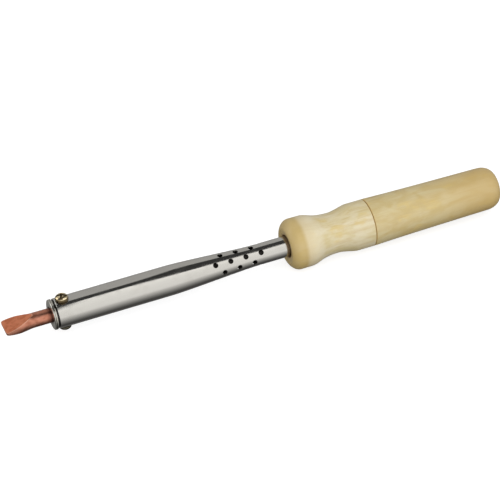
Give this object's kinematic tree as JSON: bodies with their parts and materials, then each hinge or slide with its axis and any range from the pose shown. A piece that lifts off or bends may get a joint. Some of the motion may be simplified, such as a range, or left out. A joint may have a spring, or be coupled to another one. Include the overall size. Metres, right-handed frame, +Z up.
{
  "type": "soldering iron",
  "caption": "Straight mains soldering iron: copper chisel bit, vented tapering steel barrel with brass clamp screws, two-piece turned wood handle.",
  "frame": {"origin": "under the middle of the iron's length, on the level of the lowest point of the handle's nose; the iron's axis runs 16.1 mm above it", "axes": "+X along the iron's axis, from the bit to the handle's end; +Z up, along the clamp screws' axis; +Y to the left of someone looking along +X"},
  "size_m": [0.323, 0.0322, 0.0322],
  "materials": {
    "copper": "bare copper, satin, forged and filed at the end",
    "nickel": "nickel plated, bright",
    "brass": "bare brass, bright, slightly aged",
    "polished_steel": "polished tube with faint lengthwise marks",
    "heater_steel": "dull grey, heat-tinted",
    "mica": "mica sheet, dull",
    "resistance_wire": "dull grey wire",
    "ceramic": "unglazed ceramic",
    "front_wood": "pale turned wood, fine straight grain, thin clear lacquer",
    "rear_wood": "slightly darker turned wood, fine straight grain, thin clear lacquer",
    "rubber": "black rubber, matt",
    "phenolic": "dark brown moulding"
  },
  "bodies": {
    "iron": {"nose_bush": "nickel", "barrel": "polished_steel", "heater_sleeve": "heater_steel", "inner_mica": "mica", "heater_winding": "resistance_wire", "outer_mica": "mica", "heater_jacket": "heater_steel", "heater_end_washer": "heater_steel", "lead_insulator": "ceramic", "heater_lead_left": "resistance_wire", "heater_lead_right": "resistance_wire", "front_grip": "front_wood", "barrel_retainer": "heater_steel", "terminal_block": "phenolic", "terminal_left": "brass", "terminal_right": "brass", "terminal_screw_left_front": "heater_steel", "terminal_screw_left_rear": "heater_steel", "terminal_screw_right_front": "heater_steel", "terminal_screw_right_rear": "heater_steel"},
    "bit": {"bit": "copper"},
    "clamp_screw_top": {"clamp_screw_top": "brass"},
    "clamp_screw_bottom": {"clamp_screw_bottom": "brass"},
    "rear_grip": {"rear_grip": "rear_wood", "cord_grommet": "rubber"}
  },
  "joints": [
    {"name": "bit_slide", "type": "slide", "parent": "iron", "child": "bit", "axis": [-1, 0, 0], "range_m": [-0.01, 0.06]},
    {"name": "clamp_screw_top_travel", "type": "slide", "parent": "iron", "child": "clamp_screw_top", "axis": [0, 0, 1], "range_m": [0, 0.005]},
    {"name": "clamp_screw_bottom_travel", "type": "slide", "parent": "iron", "child": "clamp_screw_bottom", "axis": [0, 0, -1], "range_m": [0, 0.005]},
    {"name": "rear_grip_slide", "type": "slide", "parent": "iron", "child": "rear_grip", "axis": [1, 0, 0], "range_m": [0, 0.09]}
  ]
}
